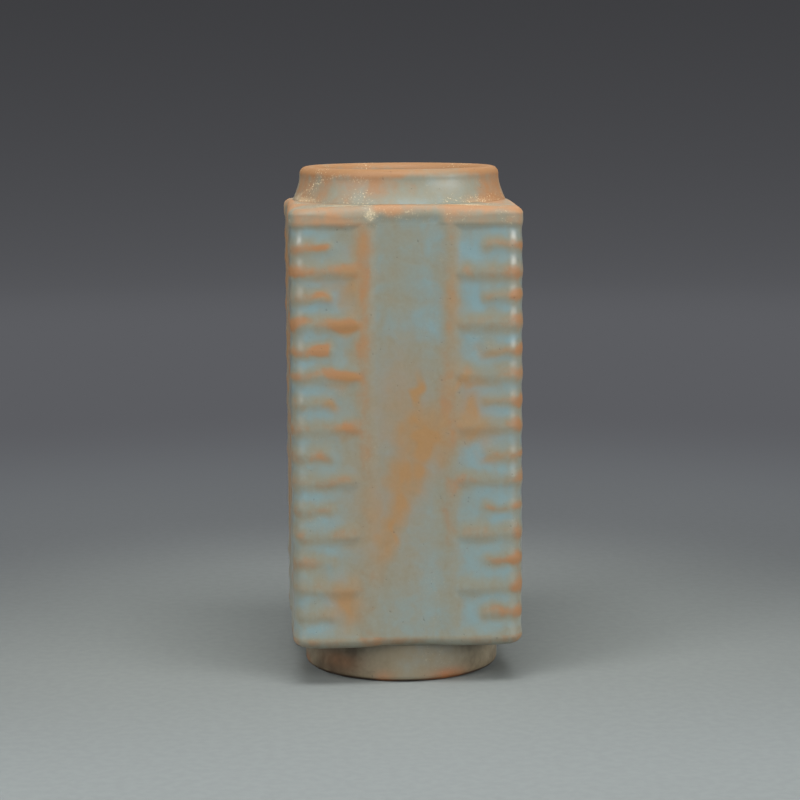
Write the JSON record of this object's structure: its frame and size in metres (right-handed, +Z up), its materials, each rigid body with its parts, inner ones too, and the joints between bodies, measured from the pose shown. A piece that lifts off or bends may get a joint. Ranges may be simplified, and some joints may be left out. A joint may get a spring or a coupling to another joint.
{
  "type": "cong vase",
  "caption": "Square upright ceramic vase with a round neck and foot ring, its faces moulded in tiers of raised bars that turn the corners beside a sunk central channel.",
  "frame": {"origin": "centre of the foot ring on the surface it rests on", "axes": "+Z up along the vase's axis, -Y towards the viewer of the front face, +X to the right of the front face"},
  "size_m": [0.09, 0.09, 0.2],
  "materials": {
    "glazed_body": "satin sky-blue glaze that breaks to orange brown on edges and bars",
    "glazed_foot": "thin brownish glaze",
    "inner_glaze": "satin glaze"
  },
  "bodies": {
    "root": {"front_wall": "glazed_body", "right_wall": "glazed_body", "back_wall": "glazed_body", "left_wall": "glazed_body", "base_slab": "glazed_body", "shoulder_slab": "glazed_body", "neck_ring": "glazed_body", "foot_ring": "glazed_foot", "front_right_seam_coil": "inner_glaze", "back_right_seam_coil": "inner_glaze", "back_left_seam_coil": "inner_glaze", "front_left_seam_coil": "inner_glaze", "base_seam_coil": "inner_glaze", "shoulder_seam_coil": "inner_glaze"}
  },
  "joints": []
}
